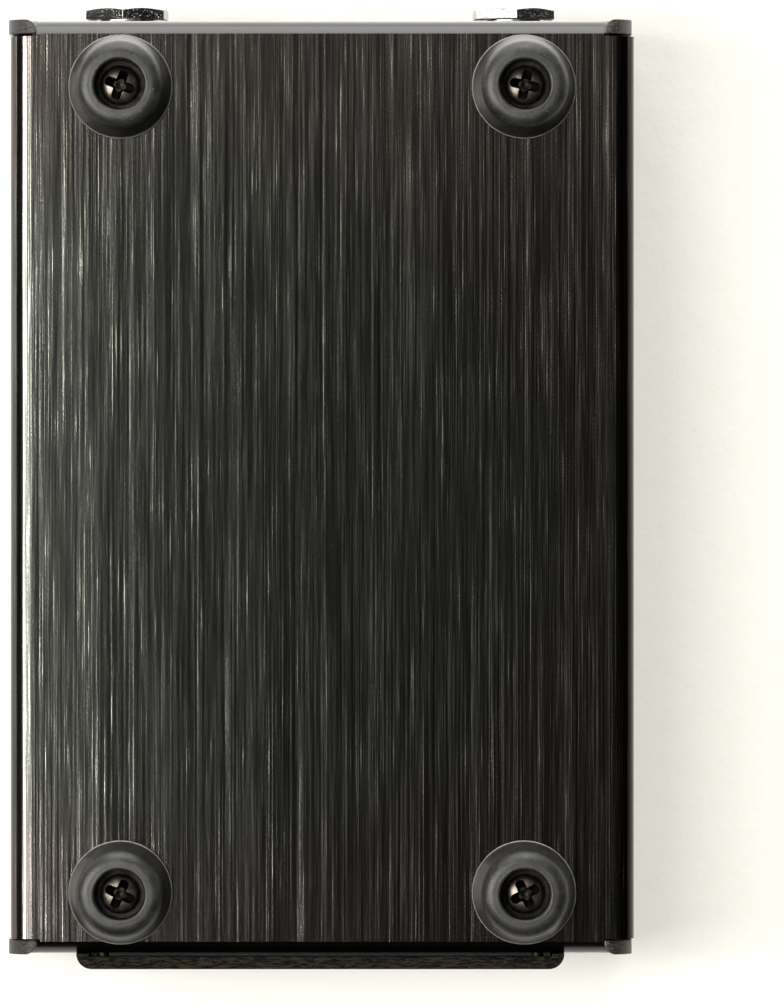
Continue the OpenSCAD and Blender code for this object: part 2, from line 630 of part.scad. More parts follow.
// From a jack's two contacts up to the board's edge, and from the pins of the socket
module hookup_wires() color([0.7, 0.1, 0.08]) in_top() {
    y_tail = y_end + jack_back - jack_body_l - contact_tail;
    y_edge = board_y + board_l / 2 - 3;
    for (s = [-1, 1], u = [-1, 1]) {
        a = [s * jack_x, y_tail - 0.1, z_jack + u * contact_off];
        d = [s * (jack_x - 4 + 2 * u), y_edge - 3, z_board - 0.1];
        tube(curve(a, a - [0, 6, 0], d - [0, 0, 9], d, wire_rings), wire_r);
    }
    y_cup = -y_end + sheet_t + socket_deep + cup_l;
    y_near = board_y - board_l / 2 + 3;
    for (i = [-1:1]) {
        a = [i * pin_circle * 0.866, y_cup + 0.1, z_plate + (i == 0 ? -pin_circle : pin_circle / 2)];
        d = [i * 8, y_near + 4, z_board - 0.1];
        tube(curve(a, a + [0, 5, 0], d - [0, 0, 9], d, wire_rings), wire_r);
    }
}

top_shell();
bottom_shell();
foot_1();
foot_2();
foot_3();
foot_4();
foot_washers();
foot_screws();
clinch_nuts();
input_bush();
input_nut();
input_washer();
input_insulators();
input_body();
input_contacts();
thru_bush();
thru_nut();
thru_washer();
thru_insulators();
thru_body();
thru_contacts();
output_plate();
output_gasket();
output_plate_screws();
socket_shell();
socket_insert();
socket_pins();
socket_screws();
pad_frame();
pad_base();
pad_slider();
pad_terminals();
ground_frame();
ground_base();
ground_slider();
ground_terminals();
polarity_frame();
polarity_base();
polarity_slider();
polarity_terminals();
switch_screws();
circuit_board();
standoffs();
board_screws();
transformer_core();
transformer_bobbin();
transformer_winding();
transformer_clamp();
resistors();
resistor_leads();
capacitors();
hookup_wires();
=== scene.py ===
# %% [markdown]
# # Direct injection box, seen from below
#
# The object is a small steel box that turns a guitar's signal into a balanced one. It is folded
# from two U-shaped sheets, stands on four rubber feet, has two jack sockets on one end and a raised
# connector plate on the other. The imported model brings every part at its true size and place. This
# lesson gives those parts soft edges, real rubber and screws, and finishes made only of nodes.

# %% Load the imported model
import json
import math

import bmesh
import bpy
from mathutils import Matrix, Vector, noise

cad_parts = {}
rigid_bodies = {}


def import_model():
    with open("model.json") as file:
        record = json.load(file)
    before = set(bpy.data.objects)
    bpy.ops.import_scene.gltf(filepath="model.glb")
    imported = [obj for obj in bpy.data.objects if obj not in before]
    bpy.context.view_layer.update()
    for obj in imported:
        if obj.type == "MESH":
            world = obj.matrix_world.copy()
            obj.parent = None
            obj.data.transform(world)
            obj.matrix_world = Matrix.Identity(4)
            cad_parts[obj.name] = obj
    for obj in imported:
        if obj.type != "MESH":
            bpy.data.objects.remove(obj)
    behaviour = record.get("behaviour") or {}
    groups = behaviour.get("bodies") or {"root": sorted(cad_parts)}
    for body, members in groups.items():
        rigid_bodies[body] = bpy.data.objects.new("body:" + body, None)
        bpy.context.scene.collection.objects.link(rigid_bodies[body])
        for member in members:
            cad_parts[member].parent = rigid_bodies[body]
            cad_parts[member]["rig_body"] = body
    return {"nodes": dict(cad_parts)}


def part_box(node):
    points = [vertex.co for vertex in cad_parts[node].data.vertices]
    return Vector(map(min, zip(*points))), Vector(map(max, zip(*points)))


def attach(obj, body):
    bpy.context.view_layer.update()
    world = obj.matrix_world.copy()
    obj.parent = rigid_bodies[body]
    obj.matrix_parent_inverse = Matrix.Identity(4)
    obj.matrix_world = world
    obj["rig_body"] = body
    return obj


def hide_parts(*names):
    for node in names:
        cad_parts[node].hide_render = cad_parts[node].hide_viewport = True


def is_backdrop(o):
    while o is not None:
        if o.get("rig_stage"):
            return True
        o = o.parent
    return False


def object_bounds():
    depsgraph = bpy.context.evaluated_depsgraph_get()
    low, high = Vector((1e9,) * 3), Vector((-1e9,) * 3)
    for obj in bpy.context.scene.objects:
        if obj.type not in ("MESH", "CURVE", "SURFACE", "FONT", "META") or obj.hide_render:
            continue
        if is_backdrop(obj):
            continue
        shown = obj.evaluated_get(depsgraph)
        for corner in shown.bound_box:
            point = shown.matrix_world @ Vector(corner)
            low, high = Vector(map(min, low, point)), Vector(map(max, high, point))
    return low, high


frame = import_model()
cad_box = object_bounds()
nodes = frame["nodes"]
low, high = (Vector(corner) for corner in cad_box)
MM = 0.001
print("parts loaded:", len(nodes))
print("box measures, mm:", [round(side / MM, 2) for side in high - low])

# %% [markdown]
# ## The camera
#
# The box lies on its top and the camera looks straight at its underside. Here the box stands on its
# feet, so the camera is below it and looks along +Z, which is half a turn about Y. A long lens from
# far away makes the side walls almost vanish. The lens is shifted a little rather than the camera
# turned, because a turned camera would make the long edges run together.

# %% Camera
EYE_AWAY = 1300
EYE_SIDE = (-0.1, -0.55)


def placed(name, data):
    """A new object that holds the data, linked into the scene."""
    thing = bpy.data.objects.new(name, data)
    bpy.context.scene.collection.objects.link(thing)
    return thing


plate_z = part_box("bottom_shell")[0].z
lens = bpy.data.cameras.new("camera")
lens.lens = 307.9
lens.sensor_width = 36
lens.shift_x = 0.0697
lens.shift_y = -0.0124
lens.clip_start = 0.01
camera = placed("camera", lens)
camera.location = (EYE_SIDE[0] * MM, EYE_SIDE[1] * MM, plate_z - EYE_AWAY * MM)
camera.rotation_euler = (0, math.pi, 0)
bpy.context.scene.camera = camera
bpy.context.scene.view_settings.view_transform = "Standard"
print("camera stands below the feet by, m:", round(-camera.location.z, 3))

# %% [markdown]
# ## Writing a finish as a sum
#
# A finish is a small machine of nodes. Wired by hand, a sum such as `1 - grain * 0.5` takes two
# nodes and four links, which hides the idea. This class wraps one output of a node and teaches it
# to add, subtract, multiply and compare, so that the sum can be written as a sum.

# %% A reading: one number that changes over a surface
class Reading:
    """One output of a node. A sum on it adds Math nodes."""

    def __init__(self, finish, socket):
        self.finish = finish
        self.socket = socket

    def __add__(self, other):
        return self.finish.maths("ADD", self, other)

    def __sub__(self, other):
        return self.finish.maths("SUBTRACT", self, other)

    def __rsub__(self, other):
        return self.finish.maths("SUBTRACT", other, self)

    def __mul__(self, other):
        return self.finish.maths("MULTIPLY", self, other)

    def __pow__(self, power):
        return self.finish.maths("POWER", self, power)

    def __rpow__(self, base):
        return self.finish.maths("POWER", base, self)

    def __gt__(self, level):
        return self.finish.maths("GREATER_THAN", self, level)

    def __lt__(self, level):
        return self.finish.maths("LESS_THAN", self, level)

    def __abs__(self):
        return self.finish.maths("ABSOLUTE", self)

    __radd__ = __add__
    __rmul__ = __mul__


# %% [markdown]
# ## One material and the few tools that build it
#
# Every finish of this box is made of the same few things: noise that is stretched to suit the
# material, a soft step that turns noise into patches, a blend of two colours and a fine relief. The
# class below holds one material, and its method `add` makes any node. Places are in millimetres, so
# a stretch of 10 means ten grains in a millimetre on the real box.

# %% A finish: one material and the ways to build it
class Finish:
    """A material with one principled shader. Places on the surface are in millimetres."""

    def __init__(self, name, **uniform):
        self.material = bpy.data.materials.new(name)
        self.material.use_nodes = True
        self.tree = self.material.node_tree
        self.shader = self.tree.nodes["Principled BSDF"]
        self.feed(**uniform)
        metres = self.add("ShaderNodeTexCoord", out="Object")
        self.place = self.add(
            "ShaderNodeVectorMath", {"operation": "SCALE"}, {"Vector": metres, "Scale": 1 / MM})
        self.facing = self.add("ShaderNodeTexCoord", out="Normal")

    def add(self, kind, settings=None, sockets=None, out=0):
        """Makes a node: its settings first, then the values or links of its sockets."""
        node = self.tree.nodes.new(kind)
        for name, value in (settings or {}).items():
            setattr(node, name, value)
        for name, value in (sockets or {}).items():
            self.join(value, node.inputs[name])
        return Reading(self, node.outputs[out])

    def join(self, value, socket):
        """Links a reading to the socket, or sets the socket to a plain value."""
        if isinstance(value, Reading):
            self.tree.links.new(value.socket, socket)
        else:
            socket.default_value = value

    def feed(self, **inputs):
        """Sets or links the shader's own sockets. Base_Color stands for Base Color."""
        for name, value in inputs.items():
            self.join(value, self.shader.inputs[name.replace("_", " ")])

    def maths(self, operation, *terms):
        return self.add("ShaderNodeMath", {"operation": operation}, dict(enumerate(terms)))

    def axis(self, letter, vector=None):
        """One of the three numbers of a place or a direction."""
        return self.add("ShaderNodeSeparateXYZ", None, {0: vector or self.place}, letter)

    def grain(self, stretch, detail=2.0, rough=0.5, offset=0.0):
        """Noise from 0 to 1. stretch is how many grains fit in a millimetre along each axis."""
        moved = self.add(
            "ShaderNodeMapping", None,
            {"Vector": self.place, "Scale": stretch, "Location": (offset, offset, offset)})
        return self.add("ShaderNodeTexNoise", None, {
            "Vector": moved, "Scale": 1.0, "Detail": detail, "Roughness": rough})

    def rise(self, value, start, end):
        """0 below start and 1 above end, with a soft step between them."""
        return self.add("ShaderNodeMapRange", {"interpolation_type": "SMOOTHSTEP"}, {
            "Value": value, "From Min": start, "From Max": end})

    def blend(self, mask, first, second):
        """first where the mask is 0, second where it is 1."""
        return self.add("ShaderNodeMix", {"data_type": "RGBA"}, {
            0: mask, 6: first, 7: second}, 2)

    def relief(self, height, depth):
        """Raises the surface by depth millimetres where height is 1."""
        return self.add("ShaderNodeBump", None, {
            "Height": height, "Distance": depth * MM, "Strength": 1.0})

    def done(self):
        print(self.material.name, "takes", len(self.tree.nodes), "nodes")
        return self.material


def grey(level, warmth=0.0):
    """A grey of that level, a little warm or, below nought, a little cool."""
    return (level * (1 + warmth), level, level * (1 - warmth), 1)


finishes = {}

# %% [markdown]
# ## Brushed black sheet
#
# The bottom shell is metal that was brushed along its length and then blackened. Brushing leaves
# thousands of fine grooves. They catch a light to one side and smear it across the grain, so the
# sheet is bright towards the light and dark away from it. A picture of scratches would look right
# from one side only. Noise stretched far along the grain gives both the fine grooves, as relief,
# and the paler scratches, as colour, and it follows the sheet round its bends.
#
# The eye judges brightness in doublings, so the layers of grain are added up as doublings, and one
# power of two turns the sum into a colour. Blackening is never even: the middle comes out a little
# green and the corners a little brown. The bend that faces the side lamp is painted paler, a painted
# highlight, and the bend on the far side is painted darker, a painted shade. The ends of the sheet
# were cut by a shear and left raw.

# %% Brushed black sheet
def brushed_black():
    sheet = Finish("brushed_black", Metallic=0.97)
    hairs = sheet.grain((10, 0.013, 10), 1, 0.6)
    dashes = sheet.grain((6.5, 0.08, 6.5), 1, 0.6, 31)
    streaks = sheet.grain((1.6, 0.006, 1.6), 2, 0.6, 57)
    speckle = sheet.grain((9, 3, 9), 1, 0.6, 64)
    scratches = sheet.rise(dashes, 0.66, 0.8) * 1.7 + sheet.rise(hairs, 0.7, 0.86)
    doublings = (hairs - 0.5) * 11 + (dashes - 0.5) * 7 + (streaks - 0.5) * 4
    doublings = doublings + (speckle - 0.5) * 3.5 + scratches
    # Painted highlight and painted shade: the bend facing the side lamp is painted paler, the far bend
    # darker.
    tilt = sheet.axis("X", sheet.facing)
    painted_bend_highlight = sheet.rise(tilt, 0.1, 0.4)
    painted_bend_shade = sheet.rise(tilt * -1, 0.1, 0.6)
    doublings = doublings * (1 - painted_bend_highlight * 0.5) + (painted_bend_highlight * 1.6 - painted_bend_shade * 2)
    pale = 2 ** (doublings - 4.55)
    green = sheet.blend(pale, (0.0068, 0.0076, 0.0063, 1), (0.49, 0.51, 0.46, 1))
    brown = sheet.blend(pale, (0.0086, 0.0076, 0.0068, 1), (0.53, 0.49, 0.455, 1))
    from_middle = (sheet.axis("X") * 0.018 - 0.3) ** 2.0 + (sheet.axis("Y") * 0.0175) ** 2.0
    clouds = sheet.grain((0.03, 0.02, 0.03), 2, 0.5, 83)
    colour = sheet.blend(sheet.rise(from_middle + clouds * 0.5, 0.6, 1.6), green, brown)
    cut = abs(sheet.axis("Y", sheet.facing)) > 0.8
    raw = sheet.grain((2.2, 2.2, 2.2), 4, 0.7, 12)
    sheet.feed(
        Base_Color=sheet.blend(cut, colour, sheet.blend(raw, grey(0.01), grey(0.06, 0.08))),
        Roughness=0.11 + streaks * 0.05 + cut * 0.3,
        Normal=sheet.relief(hairs * 0.6 + dashes * 0.4 + cut * raw * 9, 0.0065))
    return sheet.done()


finishes["brushed_sheet"] = brushed_black()

# %% [markdown]
# ## Black paint on folded sheet
#
# The top shell and the raised plate are painted black. Paint lies smooth on the flat faces and
# bends, but it barely covers an edge that was cut by a shear: there the torn metal shows as ridges
# and pale specks. One finish does both. The direction that the surface faces tells the cut edges
# from the faces, so no edge has to be painted by hand. The four corner tabs are so small that the
# shear has marked them all over, and they are picked out by their place.

# %% Black paint with sheared edges
TAB_WIDE = 4.3
TAB_TALL = 5.3


def painted_black(name, cut_axis, roughness, shine, has_tabs=False):
    """cut_axis is the axis that sheared edges face."""
    paint = Finish(name, Specular_IOR_Level=shine)
    orange_peel = paint.grain((1.3, 1.3, 1.3), 2, 0.5)
    fine = paint.grain((6, 6, 6), 2, 0.6, 21)
    cut = abs(paint.axis(cut_axis, paint.facing)) > 0.8
    if has_tabs:
        outside = abs(paint.axis("X")) > high.x / MM - TAB_WIDE
        cut = paint.maths("MAXIMUM", cut, outside * (paint.axis("Z") < plate_z / MM + TAB_TALL))
    torn = paint.grain((0.7, 4, 3.2), 4, 0.75, 8)
    specks = paint.rise(paint.grain((5, 7, 7), 2, 0.6, 44), 0.6, 0.72)
    worn = paint.blend(paint.rise(torn, 0.42, 0.62), grey(0.0012, 0.1), grey(0.018, 0.3))
    bare = paint.blend(specks, worn, grey(0.04, 0.12))
    face = paint.blend(fine, grey(0.0003), grey(0.0012))
    paint.feed(
        Base_Color=paint.blend(cut, face, bare),
        Roughness=roughness + fine * 0.08,
        Normal=paint.relief(orange_peel * 0.7 + fine * 0.3 + cut * torn * 18, 0.012))
    return paint.done()


finishes["textured_sheet"] = painted_black("painted_shell", "X", 0.2, 0.5, has_tabs=True)
finishes["plate_sheet"] = painted_black("painted_plate", "Z", 0.35, 0.04)

# %% [markdown]
# ## Rubber
#
# The feet are moulded rubber. It is never quite black: a pale bloom comes to its surface, and dust
# sticks to it. Broad clouds of noise make the bloom, small sharp specks make the dust, and a fine
# relief keeps the light broad and dull. A band at the height of the thin lip where the two halves of
# the mould met is painted paler: torn rubber is a little paler, and the band is also a painted
# highlight for the bright line that the lip's edge catches.

# %% Dusty rubber with a painted highlight on the lip
RIM_TALL = 1.0


def dusty_rubber_lip_highlight():
    rubber = Finish("dusty_rubber_lip_highlight", Specular_IOR_Level=0.4)
    bloom = rubber.grain((0.35, 0.35, 0.35), 4, 0.65)
    skin = rubber.grain((3, 3, 3), 3, 0.6, 5)
    dust = rubber.rise(rubber.grain((4.5, 4.5, 4.5), 2, 0.7, 66), 0.64, 0.74)
    height = rubber.axis("Z")
    rim_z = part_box("foot_1")[1].z / MM - RIM_TALL
    # Painted highlight: a paler band at the mould lip draws the bright line its edge catches; torn
    # rubber there is a little paler too.
    lip = rubber.rise(height, rim_z - 0.14, rim_z - 0.02)
    lip = lip * (1 - rubber.rise(height, rim_z + 0.1, rim_z + 0.2))
    ground = rubber.blend(rubber.rise(bloom, 0.35, 0.65), grey(0.007, -0.01), grey(0.028, 0.01))
    ground = rubber.blend(rubber.grain((7, 7, 7), 1, 0.6, 12), ground, grey(0.001))
    ground = rubber.blend(lip, ground, grey(0.13, 0.04))
    rubber.feed(
        Base_Color=rubber.blend(dust, ground, grey(0.14, 0.02)),
        Roughness=0.36 + skin * 0.15,
        Normal=rubber.relief(skin * 0.8 + dust * 0.5 + bloom * 0.6, 0.035))
    return rubber.done()


finishes["rubber"] = dusty_rubber_lip_highlight()

# %% [markdown]
# ## Metals
#
# Screws, nuts and pins differ in colour and in how far they have been polished, but all of them
# are turned or rolled metal. One recipe takes the two ends of their colour, a roughness, the depth
# of the tool marks and how fine they are. A screw's cross recess is pressed by a punch, and it is
# painted darker than the head: a painted shade for the deep recess.

# %% Metals
def worked_metal(name, dark, light, roughness, depth=0.004, lay=(6, 6, 6)):
    """lay is how fine the tool marks are along each axis, in marks for a millimetre."""
    metal = Finish(name, Metallic=1.0)
    smear = metal.grain((0.8, 0.8, 0.8), 3, 0.6)
    marks = metal.grain(lay, 3, 0.6, 17)
    pits = metal.rise(metal.grain((5, 5, 5), 2, 0.6, 71), 0.62, 0.75)
    colour = metal.blend(metal.rise(smear, 0.3, 0.7), dark, light)
    in_pits = tuple(0.4 * part for part in dark[:3]) + (1,)
    metal.feed(
        Base_Color=metal.blend(pits * 0.5, colour, in_pits),
        Roughness=roughness + smear * 0.12 + pits * 0.15,
        Normal=metal.relief(marks - pits * 0.6, depth))
    return metal.done()


finishes["black_screw"] = worked_metal("blackened_screw", grey(0.05, 0.1), grey(0.12, 0.16), 0.3)
finishes["plated_steel"] = worked_metal("zinc_steel", grey(0.42), grey(0.6, 0.02), 0.3)
finishes["nickel"] = worked_metal(
    "bright_nickel", grey(0.34, 0.03), grey(0.5, 0.04), 0.16, 0.05, (0.3, 3, 0.3))
finishes["tinned_brass"] = worked_metal("tinned_brass", grey(0.5, 0.04), grey(0.7, 0.06), 0.3)
finishes["pin_silver"] = worked_metal("silver_pin", grey(0.62, 0.03), grey(0.78, 0.04), 0.12)
# Painted shade: near black for the cross recesses and for parts that sit deep in shade.
recess_painted_shade = worked_metal("screw_recess_painted_shade", grey(0.006), grey(0.018, 0.2), 0.4)

# %% [markdown]
# ## Moulded and lacquered parts
#
# The parts inside are seldom seen, but they are seen through the sockets and slots, and each has a
# look of its own. Moulded nylon and rubber foam are mottled and dull, and board lacquer is glossy
# over the weave below it. One mottled recipe covers them all.

# %% Moulded and lacquered parts
def moulded(name, dark, light, roughness, size=1.2, depth=0.01, gloss=0.5):
    """size is how far apart the patches of the mottle lie, in millimetres."""
    part = Finish(name, Specular_IOR_Level=gloss)
    mottle = part.grain((1 / size,) * 3, 4, 0.65)
    skin = part.grain((5, 5, 5), 2, 0.6, 9)
    part.feed(
        Base_Color=part.blend(part.rise(mottle, 0.3, 0.7), dark, light),
        Roughness=roughness + skin * 0.12,
        Normal=part.relief(skin, depth))
    return part.done()


finishes["gasket"] = moulded("foam_gasket", grey(0.008), grey(0.02), 0.8, 0.5, 0.05, 0.2)
finishes["slider_plastic"] = moulded("slider_nylon", grey(0.010), grey(0.018), 0.34)
finishes["black_plastic"] = moulded("moulded_nylon", grey(0.010), grey(0.022), 0.5)
finishes["phenolic"] = moulded(
    "brown_board", (0.12, 0.06, 0.025, 1), (0.22, 0.12, 0.05, 1), 0.5, 0.4)
finishes["board"] = moulded(
    "green_board", (0.012, 0.08, 0.03, 1), (0.02, 0.13, 0.05, 1), 0.2, 0.6)
finishes["bobbin"] = moulded("bobbin_nylon", (0.55, 0.5, 0.4, 1), (0.68, 0.64, 0.54, 1), 0.45)
finishes["capacitor"] = moulded(
    "capacitor_box", (0.25, 0.02, 0.015, 1), (0.36, 0.04, 0.03, 1), 0.3)
finishes["wire"] = moulded("wire_jacket", (0.3, 0.02, 0.015, 1), (0.42, 0.035, 0.03, 1), 0.35)

# %% [markdown]
# ## Plates, turns and bands
#
# A transformer's core is a stack of thin plates, its winding is hundreds of turns of wire, and a
# resistor wears coloured bands. All three repeat evenly along one axis, so one recipe draws them as
# a sine wave of that pitch, smudged a little so that no two stripes are alike.

# %% Striped parts
def striped(name, axis, pitch, dark, light, roughness, depth, metallic=0.0):
    """pitch is the distance from stripe to stripe along the axis, in millimetres."""
    part = Finish(name, Metallic=metallic)
    wave = part.maths("SINE", part.axis(axis) * (2 * math.pi / pitch))
    smudge = part.grain((1, 1, 1), 3, 0.6)
    part.feed(
        Base_Color=part.blend(wave * 0.3 + smudge * 0.7, dark, light),
        Roughness=roughness + smudge * 0.15,
        Normal=part.relief(wave * 0.5 + smudge * 0.3, depth))
    return part.done()


finishes["core_steel"] = striped("core_plates", "Z", 0.5, grey(0.08), grey(0.2), 0.45, 0.05, 0.8)
finishes["winding"] = striped(
    "coil_wire", "Z", 0.3, (0.2, 0.07, 0.02, 1), (0.5, 0.22, 0.08, 1), 0.3, 0.06)
finishes["resistor"] = striped(
    "resistor_bands", "Y", 2.4, (0.3, 0.2, 0.1, 1), (0.6, 0.5, 0.32, 1), 0.3, 0.01)

# %% [markdown]
# ## Every part gets its finish
#
# The record names a slot for each part, such as nickel or rubber. A part's mesh arrives with one
# material of that name, which is swapped for the finish made above. The washers deep in the feet
# and the plate's sunk screws sit in shade, so they take the recess's painted shade in place of
# their own finish.

# %% Finishes by slot
slot_of = {name: part.data.materials[0].name for name, part in nodes.items()}
for name, part in nodes.items():
    part.data.materials[0] = finishes[slot_of[name]]
# Painted shade for the washers deep in the feet and the plate's sunk screws.
for name in ("foot_washers", "output_plate_screws"):
    nodes[name].data.materials[0] = recess_painted_shade
print("parts by slot:", {slot: list(slot_of.values()).count(slot) for slot in finishes})

# %% [markdown]
# ## Handing a finer piece over
#
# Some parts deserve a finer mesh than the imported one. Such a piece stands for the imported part: it
# takes its body, so that it moves with it, and its slot. Its modifiers are applied and it is shaded
# smooth, with its true corners kept sharp. Weighted normals then keep the flat faces flat beside a
# small bevel, which is cheaper than more bevel segments.

# %% Helpers for finer pieces
def finished_mesh(name, shape):
    """Writes the working shape into a new mesh and frees it."""
    mesh = bpy.data.meshes.new(name)
    shape.to_mesh(mesh)
    shape.free()
    return mesh


def settle(piece):
    """Applies the modifiers and shades the mesh smooth but for its true corners."""
    graph = bpy.context.evaluated_depsgraph_get()
    mesh = bpy.data.meshes.new_from_object(piece.evaluated_get(graph))
    piece.modifiers.clear()
    piece.data = mesh
    mesh.polygons.foreach_set("use_smooth", [True] * len(mesh.polygons))
    mesh.set_sharp_from_angle(angle=math.radians(38))
    weigh = piece.modifiers.new("flat_faces", "WEIGHTED_NORMAL")
    weigh.keep_sharp = True


def hand_over(piece, name):
    """Gives the piece its body, its slot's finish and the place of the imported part."""
    if not piece.data.materials:
        piece.data.materials.append(finishes[slot_of[name]])
    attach(piece, nodes[name]["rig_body"])
    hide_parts(name)
    print(piece.name, "faces:", len(piece.data.polygons))


# %% [markdown]
# ## Soft edges on sheets, nuts and sliders
#
# No real edge is a perfect corner. A cut sheet has a burr or a broken edge of a tenth of a
# millimetre, and that thin band is what draws the bright outline of a part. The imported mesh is
# exact but has hard corners, so each part that shows is copied, welded, cleaned of needless
# triangles and bevelled, and the copy stands for the original.

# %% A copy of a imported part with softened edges
def softened(name, width, segments=2):
    """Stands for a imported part: the same shape with its edges rounded by width millimetres."""
    shape = bmesh.new()
    shape.from_mesh(nodes[name].data)
    bmesh.ops.remove_doubles(shape, verts=shape.verts, dist=0.002 * MM)
    bmesh.ops.dissolve_degenerate(shape, edges=shape.edges, dist=0.001 * MM)
    bmesh.ops.dissolve_limit(
        shape, verts=shape.verts, edges=shape.edges, angle_limit=math.radians(0.5))
    piece = placed(name + "_soft", finished_mesh(name + "_soft", shape))
    bevel = piece.modifiers.new("edges", "BEVEL")
    bevel.width = width * MM
    bevel.segments = segments
    bevel.limit_method = "ANGLE"
    bevel.angle_limit = math.radians(32)
    bevel.use_clamp_overlap = True
    settle(piece)
    hand_over(piece, name)


for name in ("bottom_shell", "top_shell", "output_plate"):
    softened(name, 0.14)
for name in ("input_nut", "thru_nut", "input_washer", "thru_washer", "input_bush", "thru_bush",
             "socket_shell", "input_insulators", "thru_insulators"):
    softened(name, 0.1)
for name in ("pad_slider", "ground_slider", "polarity_slider"):
    softened(name, 0.12, 3)

# %% [markdown]
# ## Turned and moulded shapes
#
# Feet and screw heads are round, so each is one outline spun about an upright axis. Blender's Spin
# or Screw tool would do it for a fixed outline. Here the outline may change as it turns, which is
# how a mould line gets its ragged edge, so the rings are built one by one and joined by quads.

# %% A profile spun about a vertical axis
ON_AXIS = 0.001


def spun(name, profile, centre, steps=160):
    """profile(turn) gives the closed outline at that turn as (radius, height) in millimetres."""
    shape = bmesh.new()
    rings = []
    for step in range(steps):
        turn = 2 * math.pi * step / steps
        ring = []
        for radius, height in profile(turn):
            ring.append(shape.verts.new((
                centre.x + radius * MM * math.cos(turn),
                centre.y + radius * MM * math.sin(turn),
                centre.z + height * MM)))
        rings.append(ring)
    count = len(rings[0])
    for step in range(steps):
        here, after = rings[step], rings[(step + 1) % steps]
        for k in range(count):
            corners = (here[k], after[k], after[(k + 1) % count], here[(k + 1) % count])
            shape.faces.new(corners)
    bmesh.ops.recalc_face_normals(shape, faces=shape.faces)
    return placed(name, finished_mesh(name, shape))


def arc(middle_r, middle_z, radius, start, end, count):
    """Points of an arc in the profile's plane, from start to end degrees."""
    points = []
    for k in range(count + 1):
        angle = math.radians(start + (end - start) * k / count)
        points.append((middle_r + radius * math.cos(angle), middle_z + radius * math.sin(angle)))
    return points


# %% [markdown]
# ## The rubber feet
#
# A foot is a moulded button: a rim against the case, a soft shoulder, a flat ring that stands on
# the table, and a recess for its screw. Where the two halves of the mould met there is a thin lip
# of rubber, torn a little unevenly. A turned profile gives all of that in one watertight mesh, and
# the lip's ragged edge is made by letting its radius wander as the profile is spun.

# %% The four feet
RIM_R = 7.8
SIDE_R = 6.7
SHOULDER = 2.0
HOLE_R = 3.8
RECESS = 5.2
SCREW_HOLE_R = 1.75


def foot_profile(seed, height):
    """The outline of one foot, with a lip that wanders with the turn."""
    rim_z = height - RIM_TALL

    def outline(turn):
        sample = Vector((math.cos(turn) * 3, math.sin(turn) * 3, seed * 7.3))
        tear = 0.05 + 0.07 * abs(noise.noise(sample)) + 0.03 * noise.noise(sample * 4)
        tear = min(0.118, max(0.02, tear))
        sway = 0.03 * noise.noise(sample * 0.5)
        hole = [(SCREW_HOLE_R, height), (SCREW_HOLE_R, RECESS), (HOLE_R - 0.5, RECESS)]
        hole += arc(HOLE_R - 0.3, RECESS - 0.3, 0.3, 90, 0, 3)
        hole += arc(HOLE_R + 0.35, 0.35, 0.35, 180, 270, 5)
        hole += [(HOLE_R + 0.45, 0.01)]
        side = arc(SIDE_R - SHOULDER + sway, SHOULDER, SHOULDER - 0.01, 270, 350, 14)
        side += [(RIM_R - 0.14, rim_z - 0.35), (RIM_R - 0.08, rim_z - 0.08)]
        lip = [(RIM_R + tear * 0.8, rim_z + 0.02), (RIM_R + tear, rim_z + 0.09)]
        lip += [(RIM_R + tear * 0.7, rim_z + 0.16), (RIM_R - 0.04, rim_z + 0.24)]
        rim = [(RIM_R, height - 0.25), (RIM_R - 0.1, height - 0.08), (RIM_R - 0.3, height)]
        return hole + side + lip + rim

    return outline


for number in range(1, 5):
    name = f"foot_{number}"
    foot_low, foot_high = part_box(name)
    middle = (foot_low + foot_high) / 2
    middle.z = foot_low.z
    foot = spun(name + "_rubber", foot_profile(number, (foot_high.z - foot_low.z) / MM), middle)
    settle(foot)
    hand_over(foot, name)

# %% [markdown]
# ## The outline of a foot screw
#
# Each foot is held by a pan-head screw. The head is turned, so it is spun from an outline like the
# feet. Its dome is flatter than a ball in the middle and steeper at the edge, which a power a
# little over two gives. The thread is drawn as plain ridges, because none of it shows.

# %% Screw outline
HEAD_R = 3.0
HEAD_TALL = 2.0
DOME_TALL = 1.3
DOME_POWER = 2.4
SHANK_R = 1.5
THREADS = 12
THREAD_DEEP = 0.22


def screw_profile(length):
    """The outline of a screw whose shank has that length, from the crown of its head up."""
    points = [(ON_AXIS, 0.0)]
    for k in range(1, 15):
        share = math.sin(math.pi / 2 * k / 14)
        drop = 1 - (1 - share ** DOME_POWER) ** (1 / DOME_POWER)
        points.append((HEAD_R * share, DOME_TALL * drop))
    points += [(HEAD_R, HEAD_TALL - 0.1), (HEAD_R - 0.1, HEAD_TALL), (SHANK_R, HEAD_TALL)]
    for k in range(THREADS):
        base = HEAD_TALL + 0.6 + (length - 1.2) * k / THREADS
        points += [(SHANK_R, base), (SHANK_R - THREAD_DEEP, base + 0.28)]
    points += [(SHANK_R, HEAD_TALL + length - 0.5), (SHANK_R - 0.4, HEAD_TALL + length)]
    points += [(ON_AXIS, HEAD_TALL + length)]
    return points


screws_low, screws_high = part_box("foot_screws")
head_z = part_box("foot_washers")[0].z - HEAD_TALL * MM
shank_long = (screws_high.z - head_z) / MM - HEAD_TALL
print("shank length, mm:", round(shank_long, 2))

# %% [markdown]
# ## The punch that presses the cross
#
# The cross recess is pressed by a punch with a round core and four wings that narrow towards the
# tip. A wing is the hull of three long shapes with round ends, one below the other, and the second
# pair of wings is the first one turned by a quarter. Drawing the tool and not the hole means that
# the recess gets sloped walls and a round floor without any work on the head itself.

